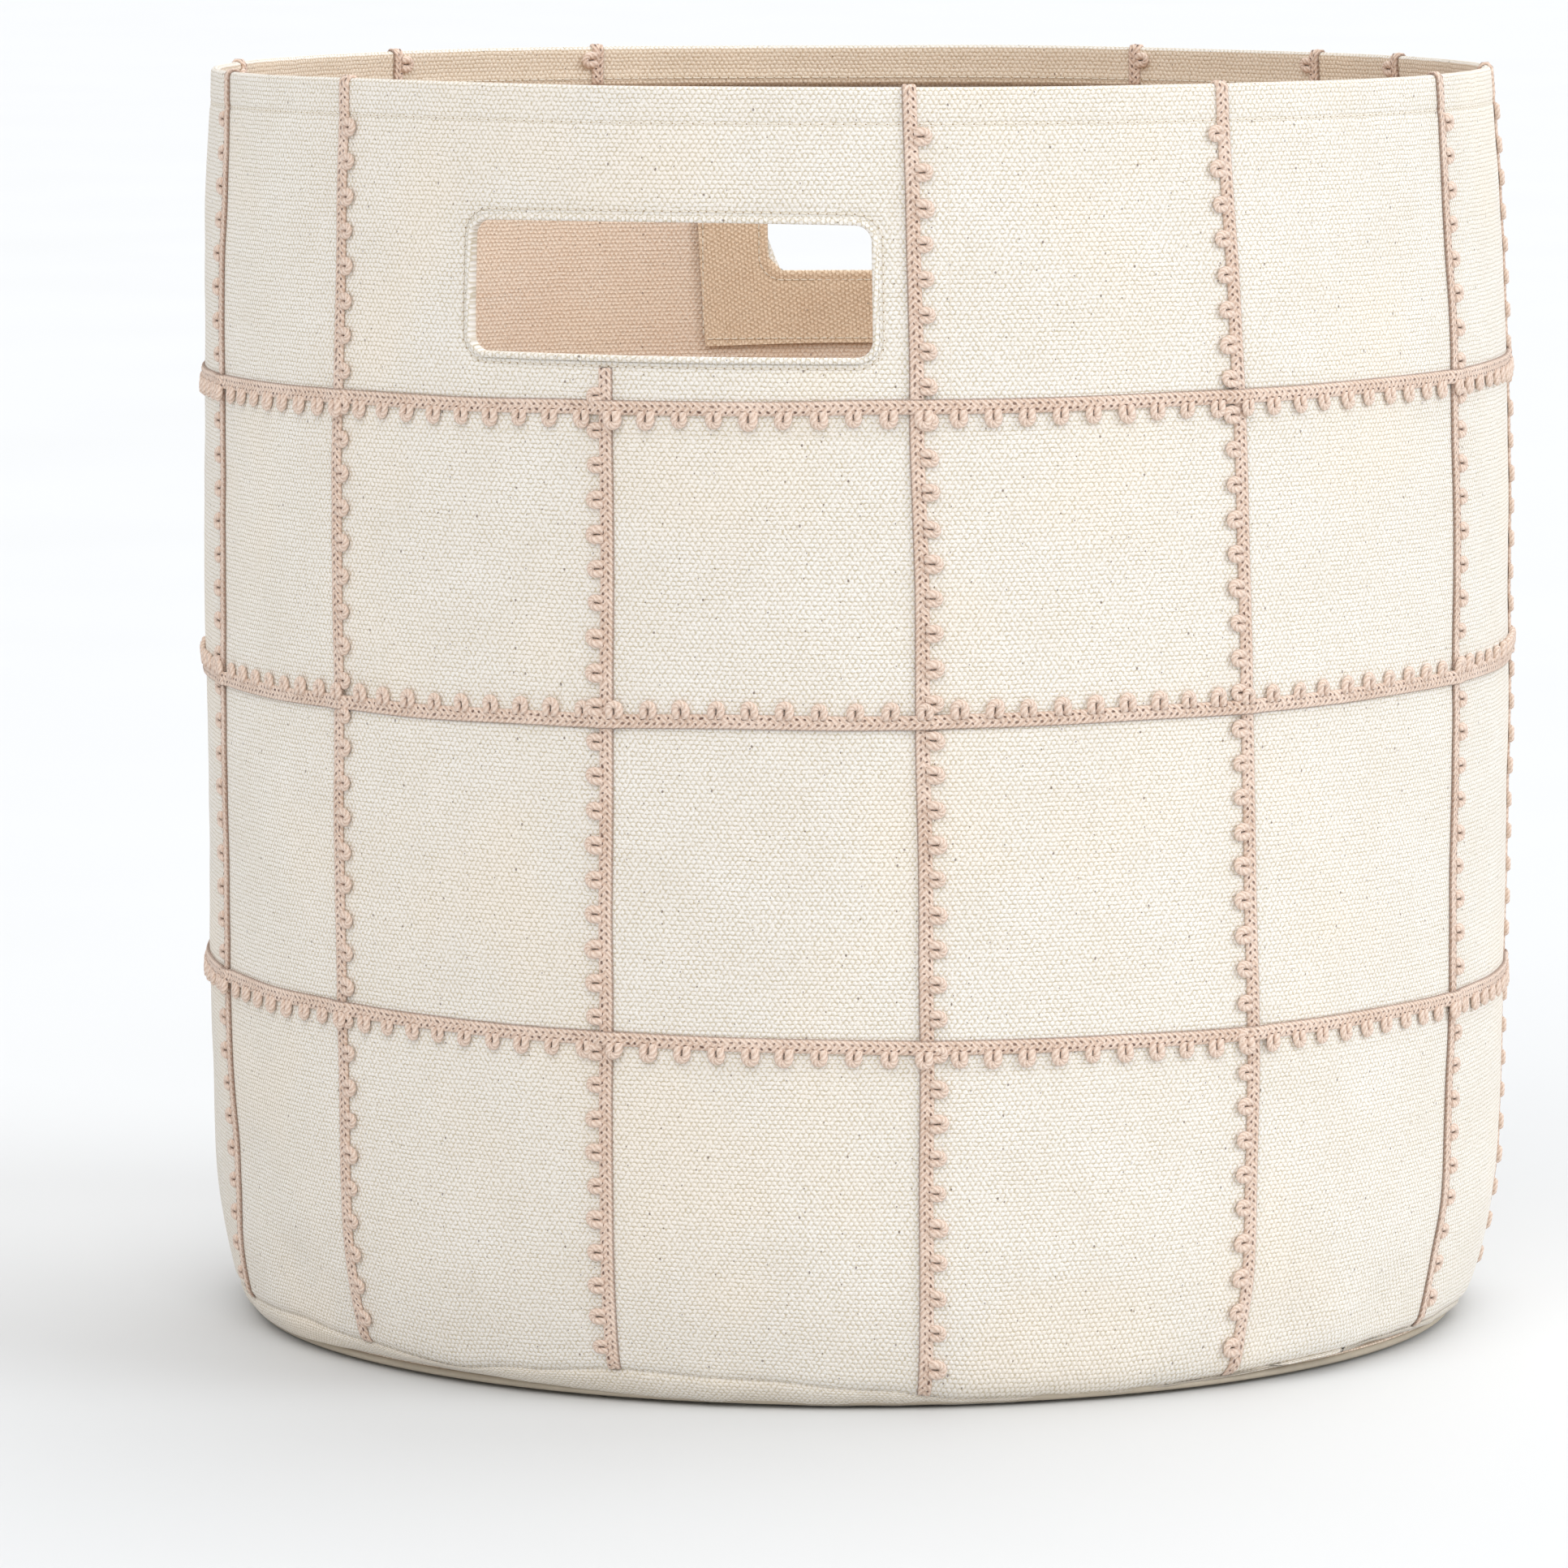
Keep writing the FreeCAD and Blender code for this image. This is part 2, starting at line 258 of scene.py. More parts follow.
def open_slot(cloth, middle, rings):
    """Cuts a hand slot and lays rings of faces in to it. A ring is (growth, depth)."""
    half = Vector((SLOT_WIDTH / 2 + WINDOW, 0, SLOT_HEIGHT / 2 + WINDOW))
    centre = Vector((middle, 0, SLOT_MIDDLE))

    def inside(spot, slack):
        gap = spot - centre
        return abs(gap.x) < half.x + slack and abs(gap.z) < half.z + slack

    window = [f for f in cloth.faces if inside(f.calc_center_median(), 0)]
    bmesh.ops.delete(cloth, geom=window, context="FACES")
    rim = [e for e in cloth.edges if e.is_boundary and all(inside(v.co, 1e-5) for v in e.verts)]
    for growth, depth in rings:
        made = bmesh.ops.extrude_edge_only(cloth, edges=rim)["geom"]
        rim = [g for g in made if isinstance(g, bmesh.types.BMEdge)]
        rim = [e for e in rim if e.is_boundary]
        for vert in {v for e in rim for v in e.verts}:
            vert.co = centre + slot_ring(vert.co - centre, growth)
            vert.co.z += slot_rise(middle)
            vert.co.y = depth


def measure(cloth, turn=0.0):
    """Stores every point's place on the flat cloth in the UV map, in metres."""
    uv = cloth.loops.layers.uv.verify()
    cos, sin = math.cos(turn), math.sin(turn)
    for face in cloth.faces:
        for loop in face.loops:
            x, z = loop.vert.co.x, loop.vert.co.z
            loop[uv].uv = (x * cos - z * sin, x * sin + z * cos)


def wrap(cloth, shape):
    """Bends the flat cloth: shape takes a flat point's x, z and depth."""
    for vert in cloth.verts:
        vert.co = shape(vert.co.x, vert.co.z, vert.co.y)


def finish_piece(cloth, name, replaces, finishes, thickness=0.0):
    """Turns a bmesh into a piece of the bin that stands for its plain CAD node."""
    bmesh.ops.remove_doubles(cloth, verts=cloth.verts, dist=1e-6)
    bmesh.ops.recalc_face_normals(cloth, faces=cloth.faces)
    mesh = bpy.data.meshes.new(name)
    cloth.to_mesh(mesh)
    cloth.free()
    piece = bpy.data.objects.new(name, mesh)
    bpy.context.scene.collection.objects.link(piece)
    for finish in finishes:
        mesh.materials.append(finish)
    mesh.polygons.foreach_set("use_smooth", [True] * len(mesh.polygons))
    if thickness:
        wall = piece.modifiers.new("thickness", "SOLIDIFY")
        wall.thickness = thickness
        wall.offset = -1
    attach(piece, "root")
    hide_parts(*replaces)
    print(name, len(mesh.polygons), "faces")
    return piece


# %% [markdown]
# ## Over the rim
#
# The canvas and the tapes on it don't stop at the rim: they turn over it and run down the inside
# to the hem's edge. So their flat length is a path, up the outside, round a half circle as thick
# as all the layers together, and down again. The lift is how far a point stands off the canvas.

# %% The path of the canvas
RIM_TURN = WALL / 2
TURN_START = HEIGHT - RIM_TURN
TURN_END = TURN_START + math.pi * RIM_TURN
HEM_LENGTH = 12.0 * MM
HEM_EDGE = TURN_END + HEM_LENGTH


def on_canvas(along, travel, lift=0.0):
    """A point on the canvas's outer face, or lift off it, from flat measures."""
    azimuth = along / BELLY_RADIUS
    if travel <= TURN_START:
        crease = CREASE * bump(travel - SEAM_HEIGHT, 1.3 * MM)
        return stand(azimuth, travel, crease - lift)
    if travel >= TURN_END:
        return stand(azimuth, TURN_START - (travel - TURN_END), WALL + lift)
    angle = (travel - TURN_START) / RIM_TURN
    reach = RIM_TURN + lift
    base = stand(azimuth, TURN_START, RIM_TURN - reach * math.cos(angle))
    return base + Vector((0, 0, reach * math.sin(angle)))


def in_wall(along, height, depth):
    return stand(along / BELLY_RADIUS, height, depth)


print("canvas is cut", round(ROUND, 3), "by", round(HEM_EDGE - SEAM_HEIGHT, 3))

# %% [markdown]
# ## Node finishes from Python expressions
#
# Most of a woven finish is arithmetic on a place: which thread is on top, how high it stands, how
# its colour drifts. Written as nodes that is dozens of Math boxes. A small class that wraps a
# socket lets the same arithmetic be written as an expression, which is easier to read and change.

# %% A class for values and one for finishes


class Value:
    """A number that varies over a surface. Operators on it add Math nodes."""

    def __init__(self, finish, socket):
        self.finish = finish
        self.socket = socket

    def math(self, operation, *others):
        inputs = dict(enumerate((self,) + others))
        return self.finish.add("ShaderNodeMath", {"operation": operation}, inputs)

    def __add__(self, other):
        return self.math("ADD", other)

    def __mul__(self, other):
        return self.math("MULTIPLY", other)

    def __sub__(self, other):
        return self.math("SUBTRACT", other)

    def __truediv__(self, other):
        return self.math("DIVIDE", other)

    def __rsub__(self, other):
        inputs = {0: other, 1: self}
        return self.finish.add("ShaderNodeMath", {"operation": "SUBTRACT"}, inputs)

    __radd__ = __add__
    __rmul__ = __mul__


class Finish:
    """A material whose nodes are added one call at a time."""

    def __init__(self, name):
        self.material = bpy.data.materials.new(name)
        self.material.use_nodes = True
        self.tree = self.material.node_tree
        self.shader = self.tree.nodes["Principled BSDF"]

    def add(self, kind, settings, inputs, output=0):
        """Adds a node, sets it, fills its sockets and returns one output."""
        node = self.tree.nodes.new(kind)
        for key, value in settings.items():
            setattr(node, key, value)
        for key, value in inputs.items():
            if isinstance(value, Value):
                self.tree.links.new(value.socket, node.inputs[key])
            else:
                node.inputs[key].default_value = value
        return Value(self, node.outputs[output])

    def mix(self, factor, low, high):
        """A colour between two colours."""
        inputs = {0: factor, 6: low, 7: high}
        return self.add("ShaderNodeMix", {"data_type": "RGBA"}, inputs, 2)

    def grade(self, value, low, high, start=0.0, end=1.0):
        """Maps a value from one range to another, with smooth ends."""
        settings = {"interpolation_type": "SMOOTHSTEP"}
        inputs = {0: value, 1: low, 2: high, 3: start, 4: end}
        return self.add("ShaderNodeMapRange", settings, inputs)

    def cloth_place(self):
        """The flat cloth's two measures, in millimetres."""
        uv = self.add("ShaderNodeUVMap", {"uv_map": "UVMap"}, {})
        scaled = self.add("ShaderNodeVectorMath", {"operation": "SCALE"}, {0: uv, 3: 1 / MM})
        x = self.add("ShaderNodeSeparateXYZ", {}, {0: scaled}, 0)
        y = self.add("ShaderNodeSeparateXYZ", {}, {0: scaled}, 1)
        return x, y

    def point(self, x, y, z=0.0):
        return self.add("ShaderNodeCombineXYZ", {}, {0: x, 1: y, 2: z})

    def cloud(self, place, scale, detail=2.0, roughness=0.5):
        """Soft noise from 0 to 1."""
        inputs = {"Vector": place, "Scale": scale, "Detail": detail, "Roughness": roughness}
        return self.add("ShaderNodeTexNoise", {}, inputs)

    def bumped(self, height, distance, strength=1.0):
        inputs = {"Height": height, "Distance": distance, "Strength": strength}
        return self.add("ShaderNodeBump", {}, inputs)

    def connect(self, **sockets):
        """Links or sets the shader's sockets: Base_Color means Base Color."""
        for key, value in sockets.items():
            socket = self.shader.inputs[key.replace("_", " ")]
            if isinstance(value, Value):
                self.tree.links.new(value.socket, socket)
            else:
                socket.default_value = value
        return self.material


# %% [markdown]
# ## Canvas
#
# Heavy cotton duck is a plain weave: each thread goes over one and under the next. Its threads
# stand further apart up the cloth than across it. The cell that a thread covers is rounded like a
# grain of rice, and the small hole at each corner of the cell is darkened towards the gap colour
# as painted shade. Undyed cotton keeps scraps of seed coat as small dark specks, its threads swell
# into slubs, and its cream drifts warm and cool. The weave reads the cloth's flat measure, so it
# bends with the cloth. The lining, the facings and the canvas inside the rim are the same cloth in
# darker, warmer tints: these tints are painted shade and painted warm bounce light of the bin's inside.

# %% Canvas, lining and facing cloth
THREAD_ACROSS = 0.86  # mm from thread to thread
THREAD_UP = 1.33


def woven(name, light, dark, gap, specks=1.0, slub=1.0):
    """Plain-weave cotton in the given tints."""
    cloth = Finish(name)
    x, y = cloth.cloth_place()
    flat = cloth.point(x, y)
    drift_x = (cloth.cloud(flat, 0.11, 2.0) - 0.5) * 0.9
    drift_y = (cloth.cloud(cloth.point(y, x, 9.0), 0.13, 2.0) - 0.5) * 0.9
    u = (x + drift_x) / THREAD_ACROSS
    v = (y + drift_y) / THREAD_UP
    across = (u * math.pi).math("SINE")
    up = (v * math.pi).math("SINE")
    grains = across * up * 0.30 + 0.30
    ridges = up.math("ABSOLUTE") * 0.31 + across.math("ABSOLUTE") * 0.09
    weave = grains + ridges
    # Each thread has its own tone, and slubs swell along it.
    rows = cloth.cloud(cloth.point(x * 0.035, v.math("FLOOR") * 0.77, 3.0), 1.0, 2.0)
    files = cloth.cloud(cloth.point(u.math("FLOOR") * 0.61, y * 0.03, 6.0), 1.0, 2.0)
    threads = rows * 0.6 + files * 0.4
    patches = cloth.cloud(flat, 0.035, 3.0, 0.6)
    fine = cloth.cloud(flat, 1.3, 2.0)
    height = weave * 1.2 + (threads - 0.5) * (0.32 * slub) + (fine - 0.5) * 0.55
    # Painted shade: pit_shade is high in the small holes between threads, and there the colour is
    # pulled towards the gap colour.
    pit_shade = 1 - cloth.grade(weave + (fine - 0.5) * 0.55, 0.24, 0.62)
    tone = cloth.grade(threads * 0.36 + patches * 0.4 + fine * 0.5, 0.42, 0.86)
    colour = cloth.mix(tone, dark, light)
    warm = tuple(a * b for a, b in zip(light, (1.0, 0.955, 0.90, 1.0)))
    warmth = cloth.grade(cloth.cloud(cloth.point(x, y, 40.0), 0.017, 2.0), 0.48, 0.72, 0.0, 0.75)
    colour = cloth.mix(warmth, colour, warm)
    colour = cloth.mix(pit_shade * 0.8, colour, gap)
    # Seed specks: a few of the cells of a coarse pattern hold one.
    for size, reach, share in ((5.5, 0.30, 0.74), (15.0, 0.46, 0.66)):
        settings = {"voronoi_dimensions": "2D", "feature": "F1"}
        wobble = cloth.cloud(flat, 1.1, 1.0) * 0.35
        spot = cloth.point(x + wobble, y * 0.8 + wobble)
        inputs = {"Vector": spot, "Scale": 1 / size, "Randomness": 1.0}
        distance = cloth.add("ShaderNodeTexVoronoi", settings, inputs, "Distance") * size
        chance = cloth.add("ShaderNodeTexVoronoi", settings, inputs, "Color")
        chosen = cloth.add("ShaderNodeSeparateColor", {}, {0: chance})
        speck = (1 - cloth.grade(distance, reach * 0.45, reach)) * cloth.grade(
            chosen, share, share + 0.02
        )
        colour = cloth.mix(speck * (0.72 * specks), colour, (0.09, 0.045, 0.035, 1))
    normal = cloth.bumped(height, 0.00030)
    roughness = cloth.grade(threads, 0.2, 0.8, 0.94, 0.82)
    return cloth.connect(
        Base_Color=colour,
        Roughness=roughness,
        Normal=normal,
        Sheen_Weight=0.15,
        Sheen_Roughness=0.6,
        Specular_IOR_Level=0.18,
    )


canvas = woven("canvas", (0.955, 0.92, 0.88, 1), (0.875, 0.82, 0.755, 1), (0.46, 0.37, 0.21, 1))
base_canvas = woven(
    "base canvas", (0.94, 0.89, 0.83, 1), (0.85, 0.78, 0.70, 1), (0.45, 0.36, 0.20, 1), 0.6
)
# Painted shade: the canvas inside the rim is the same canvas, tinted darker and warmer for the shade
# and warm bounce light inside the bin.
shaded_hem_canvas = woven(
    "shaded canvas inside the rim", (0.95, 0.85, 0.73, 1), (0.84, 0.72, 0.58, 1), (0.46, 0.32, 0.18, 1)
)
# Painted shade: the lining is tinted darker, warmer and pinker than the canvas for the shade and warm
# bounce light inside the bin.
shaded_lining_cloth = woven(
    "shaded lining cotton", (0.96, 0.86, 0.76, 1), (0.88, 0.70, 0.56, 1), (0.50, 0.33, 0.21, 1), 0.8, 3.0
)
# Painted shade: the facing is the same cotton, tinted browner for the shade it sits in inside the bin;
# its lip takes the plain canvas.
shaded_facing_cloth = woven(
    "shaded facing cotton", (0.93, 0.77, 0.60, 1), (0.80, 0.62, 0.46, 1), (0.42, 0.27, 0.15, 1), 0.8
)
print("woven finishes", len(canvas.node_tree.nodes), "nodes each")

# %% [markdown]
# ## The canvas wall
#
# One cloth makes the wall, the fold over the rim and the hem inside. Its grid has fine rows at the
# base seam, at the hem's stitching and round the fold, and wider ones where the cloth is plain.
# Around each slot the rings dip where the topstitching pulls the layers together, and then roll
# in. The wall gets its thickness from a Solidify modifier, which works inwards from the outer face.

# %% Canvas wall
TOPSTITCH = 3.3 * MM
SLOT_RINGS = (
    (7.0 * MM, 0.0),
    (4.6 * MM, 0.0),
    (TOPSTITCH, 0.45 * MM),
    (2.2 * MM, 0.05 * MM),
    (1.4 * MM, 0.15 * MM),
    (0.9 * MM, 0.6 * MM),
    (0.8 * MM, 1.4 * MM),
)
CELL = 4.2 * MM
half_window = SLOT_WIDTH / 2 + WINDOW
closing = SEAM_AZIMUTH * BELLY_RADIUS
middles = [azimuth * BELLY_RADIUS for azimuth in HANDLES.values()]
window_sides = sorted(m + side * half_window for m in middles for side in (-1, 1))
wall_columns = steps(closing - ROUND, *window_sides, closing, size=CELL)
window_low = SLOT_MIDDLE - SLOT_HEIGHT / 2 - WINDOW
window_high = SLOT_MIDDLE + SLOT_HEIGHT / 2 + WINDOW
fine_seam = [SEAM_HEIGHT + d * MM for d in (0.0, 0.7, 1.5, 2.6, 4.2, 6.5)]
fine_hem = [HEM_STITCH + d * MM for d in (-2.4, -1.2, -0.5, 0.0, 0.5, 1.2, 2.4)]
canvas_rows = fine_seam[:-1] + steps(fine_seam[-1], window_low, window_high, size=CELL)
canvas_rows += steps(window_high, fine_hem[0], size=CELL)[1:] + fine_hem[1:]
canvas_rows += steps(fine_hem[-1], TURN_START, size=3 * MM)[1:]
canvas_rows += steps(TURN_START, TURN_END, size=0.6 * MM)[1:]
canvas_rows += steps(TURN_END, HEM_EDGE, size=1.5 * MM)[1:]

cloth = flat_grid(wall_columns, canvas_rows)
for middle in middles:
    open_slot(cloth, middle, SLOT_RINGS)
measure(cloth)
# Painted shade: faces inside the rim's fold take the shaded hem canvas.
for face in cloth.faces:
    face.material_index = int(face.calc_center_median().z > TURN_END - 0.6 * MM)
wrap(cloth, lambda x, z, depth: on_canvas(x, z, -depth))
canvas_wall = finish_piece(
    cloth, "canvas_wall", ["outer_wall"], [canvas, shaded_hem_canvas], thickness=CANVAS
)
HEM_EDGE - SEAM_HEIGHT

# %% [markdown]
# ## Interlining and lining
#
# The interlining is a stiff felt that keeps the wall up, and the lining covers it inside. They are
# tubes of cloth that hang within the canvas and end in the rim's fold. They use the same slots and
# the same waves, a little further in.

# %% Inner layers of the wall
INTERLINING_DEPTH = 0.95 * MM
INTERLINING = 0.6 * MM
INTERLINING_FOOT = 1.2 * MM
LINING_DEPTH = 2.2 * MM  # the inner face of the lining, which the base's discs fit within
LINING_SURFACE = 1.65 * MM  # where the lining's one surface lies
LINING_FOOT = 4.2 * MM
BOARD_TOP = 3.35 * MM
felt = woven("interlining felt", (0.85, 0.83, 0.78, 1), (0.76, 0.74, 0.68, 1), (0.6, 0.58, 0.5, 1), 0.0)
INNER_RINGS = ((6.0 * MM, 0.0), (3.0 * MM, 0.0), (1.0 * MM, 0.0))


def wall_tube(name, node, finish, depth, thickness, bottom):
    """A tube of cloth at a depth in the wall, with both slots."""
    rows = steps(bottom, bottom + 8 * MM, size=2 * MM)
    rows += steps(rows[-1], window_low, window_high, TURN_START, size=5.5 * MM)[1:]
    columns = steps(closing - ROUND, *window_sides, closing, size=5.5 * MM)
    tube = flat_grid(columns, rows)
    for middle in middles:
        open_slot(tube, middle, INNER_RINGS)
    measure(tube)
    wrap(tube, lambda x, z, y: in_wall(x, z, depth + y))
    piece = finish_piece(tube, name, [node], [finish], thickness=thickness)
    TURN_START - bottom
    return piece


wall_tube(
    "interlining_felt", "wall_interlining", felt,
    INTERLINING_DEPTH, INTERLINING, INTERLINING_FOOT,
)
wall_tube("lining_wall", "wall_lining", shaded_lining_cloth, LINING_SURFACE, 0.0, LINING_FOOT)

# %% [markdown]
# ## Base
#
# The base cloth is a disc whose edge is turned up to the base seam, where it shows as a narrow
# strip under the wall. On it lies a stiff board, and the base lining on top. The three are flat
# discs: a grid is wrapped so that its rows become circles, from the edge in to the middle.

# %% Base cloth, board and base lining
strip_levels = [SEAM_HEIGHT * share for share in (1, 0.8, 0.6, 0.42, 0.28, 0.16, 0.07, 0.02, 0)]
foot = skin_radius(0)
base_profile = [(level, skin_radius(level)) for level in strip_levels]
base_profile += [(0.0, foot - inward) for inward in steps(0.0, 30 * MM, foot, size=7 * MM)[1:]]
base_travel = [0.0]
for (low_a, out_a), (low_b, out_b) in zip(base_profile, base_profile[1:]):
    base_travel.append(base_travel[-1] + math.hypot(low_b - low_a, out_b - out_a))


def on_base(along, row):
    """A point on the base cloth's outer face: row counts from its upper edge to the middle."""
    level, reach = base_profile[row]
    azimuth = along / BELLY_RADIUS
    if level > 0:
        return stand(azimuth, level, CREASE * bump(level - SEAM_HEIGHT, 1.3 * MM))
    edge = stand(azimuth, 0.0, 0.0)
    spot = Vector((edge.x, edge.y, 0.0)) * (reach / foot)
    spot.z = edge.z * bump(foot - reach, 25 * MM)
    return spot


dish = flat_grid(
    steps(closing - ROUND, closing, size=CELL), [-i for i in reversed(range(len(base_profile)))]
)
uv = dish.loops.layers.uv.verify()
for face in dish.faces:
    for loop in face.loops:
        loop[uv].uv = (loop.vert.co.x, -base_travel[round(-loop.vert.co.z)])
wrap(dish, lambda x, z, depth: on_base(x, round(-z)))
base_cloth = finish_piece(
    dish, "base_cloth_dish", ["base_cloth"], [base_canvas], thickness=0.7 * MM
)


def disc(name, node, finish, radius, bottom, top):
    """A round plate with a rounded edge, turned like work on a lathe."""
    corner = (top - bottom) * 0.3
    outline = [(r * radius, bottom) for r in (0.0, 0.2, 0.4, 0.6, 0.8, 0.93)]
    outline += [(radius - corner, bottom), (radius, bottom + corner)]
    outline += [(radius, top - corner), (radius - corner, top)]
    outline += [(r * radius, top) for r in (0.93, 0.8, 0.6, 0.4, 0.2, 0.0)]
    plate = flat_grid(steps(0.0, 2 * math.pi, size=math.pi / 80), list(range(len(outline))))
    for vert in plate.verts:
        reach, level = outline[round(vert.co.z)]
        vert.co = (reach * math.sin(vert.co.x), -reach * math.cos(vert.co.x), level)
    uv = plate.loops.layers.uv.verify()
    for face in plate.faces:
        for loop in face.loops:
            loop[uv].uv = (loop.vert.co.x, loop.vert.co.y)
    bmesh.ops.remove_doubles(plate, verts=plate.verts, dist=1e-6)
    return finish_piece(plate, name, [node], [finish])


board_finish = Finish("grey board")
place = board_finish.add("ShaderNodeTexCoord", {}, {}, "Object")
fibres = board_finish.cloud(place, 420.0, 4.0, 0.7)
board = board_finish.connect(
    Base_Color=board_finish.mix(fibres, (0.42, 0.36, 0.28, 1), (0.56, 0.49, 0.39, 1)),
    Roughness=board_finish.grade(fibres, 0.3, 0.7, 0.75, 0.9),
    Normal=board_finish.bumped(fibres, 0.0002),
)
lining_radius = skin_radius(4 * MM) - LINING_DEPTH - 0.4 * MM
disc("base_board_disc", "base_board", board, lining_radius, 0.9 * MM, BOARD_TOP)
# The base lining takes the shaded lining cotton, whose tint is painted shade.
base_lining = disc(
    "base_lining_disc", "base_lining", shaded_lining_cloth, lining_radius,
    BOARD_TOP + 0.1 * MM, 4.1 * MM,
)
2 * lining_radius
2 * lining_radius
math.pi * lining_radius**2

# %% [markdown]
# ## Facings
#
# Each slot is edged by a facing: a rectangle of the same cotton, laid inside with its threads
# turned, stitched round, and drawn out through the slot, where it rolls over the edge as a thin
# light lip. The patch is a flat cloth with a slot like the wall's, but its innermost rings carry on
# through the wall and curl out over the canvas.

# %% Facings
FACING_MARGIN = 25.5 * MM
FACING_STITCH = 2.0 * MM
FACING_TOP = HEIGHT - 14.5 * MM
FACING_BOTTOM = SLOT_MIDDLE - SLOT_HEIGHT / 2 - FACING_MARGIN
LIP_RINGS = (  # growth from the opening, depth from the canvas's outer face, curl of the lip
    (7.0, 3.0, 0), (4.6, 3.0, 0), (3.3, 2.7, 0), (2.2, 3.05, 0), (1.2, 3.0, 0), (0.4, 2.75, 0),
    (0.0, 2.1, 0), (0.0, 1.2, 0), (0.0, 0.5, 0), (0.15, 0.0, 0.2), (0.5, -0.25, 0.7),
    (1.0, -0.3, 1.0), (1.5, -0.15, 0.8), (1.8, 0.25, 0.3),
)


def curl(x, z):
    """How far the lip rolls out: most along the lower edge and at one end."""
    low = max(0.0, min(1.0, 0.5 - z / SLOT_HEIGHT))
    end = max(0.0, min(1.0, (-x / (SLOT_WIDTH / 2) - 0.75) * 4))
    return 0.12 * MM + 0.55 * MM * max(low**1.5, end)


def facing(handle):
    middle = HANDLES[handle] * BELLY_RADIUS
    half = SLOT_WIDTH / 2 + FACING_MARGIN
    low, high = FACING_BOTTOM + slot_rise(middle), FACING_TOP
    columns = steps(
        middle - half, middle - half + FACING_STITCH, middle - half_window,
        middle + half_window, middle + half - FACING_STITCH, middle + half, size=3.2 * MM,
    )
    rows = steps(
        low, low + FACING_STITCH, window_low, window_high, high - FACING_STITCH, high,
        size=3.2 * MM,
    )
    patch = flat_grid(columns, rows)
    for vert in patch.verts:
        vert.co.y = WALL
    rings = [(growth * MM, depth * MM) for growth, depth, _ in LIP_RINGS]
    open_slot(patch, middle, rings)
    measure(patch, turn=math.radians(95))
    # Painted shade: the rest of the facing takes the shaded facing cotton.
    for face in patch.faces:  # the lip catches the light, so it shows as pale as the canvas
        face.material_index = int(face.calc_center_median().y < 2.4 * MM)

    def shape(x, z, depth):
        away, rise = x - middle, z - SLOT_MIDDLE - slot_rise(middle)
        if depth < 0.3 * MM:
            depth -= curl(away, rise)
        if depth > 2.5 * MM:
            edge = min(half - abs(away), z - low, high - z)
            depth += 0.5 * MM * bump(edge, 1.6 * MM)
            creases = noise.noise(Vector((away / 0.022 + rise / 0.03, rise / 0.05, 8.0)))
            fade = max(0.0, min(1.0, edge / (6 * MM)))
            depth += 0.9 * MM * max(0.0, creases) * fade
        droop = 1.2 * MM * math.sin(away / 0.021) * max(0.0, -rise / 0.045) ** 3
        sag = -0.06 * rise if handle == "rear" else 0.03 * rise
        outer = max(0.0, min(1.0, (abs(away) - SLOT_WIDTH / 2 - 8 * MM) / (18 * MM)))
        return in_wall(x - sag * outer, z + droop * 0.4 * (depth > 2.5 * MM), depth)

    wrap(patch, shape)
    piece = finish_piece(
        patch, f"{handle}_slot_facing", [f"{handle}_handle_facing"], [shaded_facing_cloth, canvas],
    )
    high - low
    2 * half * (high - low) * 0.85
    return piece


for handle in HANDLES:
    facing(handle)

# %% [markdown]
# ## Sewing small shapes along a line
#
# Stitches and picot loops are the same small shape, set hundreds of times along a line. The shape
# is made once in its own flat space, x along the line, y across it and z up from the cloth, and
# each copy is placed flat and then wrapped with the same function as the cloth, so it bends with
# it. Copying the mesh into one bmesh keeps each line of sewing one piece.

# %% Lines and copies


def straight(start, end):
    """A line between two flat points: place and direction at a distance along it."""
    a, b = Vector(start), Vector(end)
    heading = (b - a).normalized()
    return (lambda t: (a + heading * t, heading)), (b - a).length


def slot_line(middle, growth):
    """A line round a slot, parallel to its edge."""
    w = SLOT_WIDTH / 2 - SLOT_CORNER
    h = SLOT_HEIGHT / 2 - SLOT_CORNER
    radius = SLOT_CORNER + growth
    arc = math.pi / 2 * radius
    legs = [2 * w, arc, 2 * h, arc] * 2
    corners = [(w, -h), (w, h), (-w, h), (-w, -h)]

    def at(t):
        t %= sum(legs)
        leg = 0
        while t > legs[leg]:
            t -= legs[leg]
            leg += 1
        side, round_it = divmod(leg, 2)
        angle = side * math.pi / 2
        if round_it:
            cx, cz = corners[side]
            angle += t / radius
            spot = Vector((cx + radius * math.sin(angle), cz - radius * math.cos(angle)))
        else:
            cx, cz = corners[side - 1]
            out = Vector((math.sin(angle), -math.cos(angle))) * radius
            spot = Vector((cx, cz)) + out + Vector((math.cos(angle), math.sin(angle))) * t
        if spot.y > 0:
            spot.y += SLOT_BOW * (1 - min(1.0, abs(spot.x) / (SLOT_WIDTH / 2)) ** 2)
        heading = Vector((math.cos(angle), math.sin(angle)))
        return spot + Vector((middle, SLOT_MIDDLE + slot_rise(middle))), heading

    return at, sum(legs)


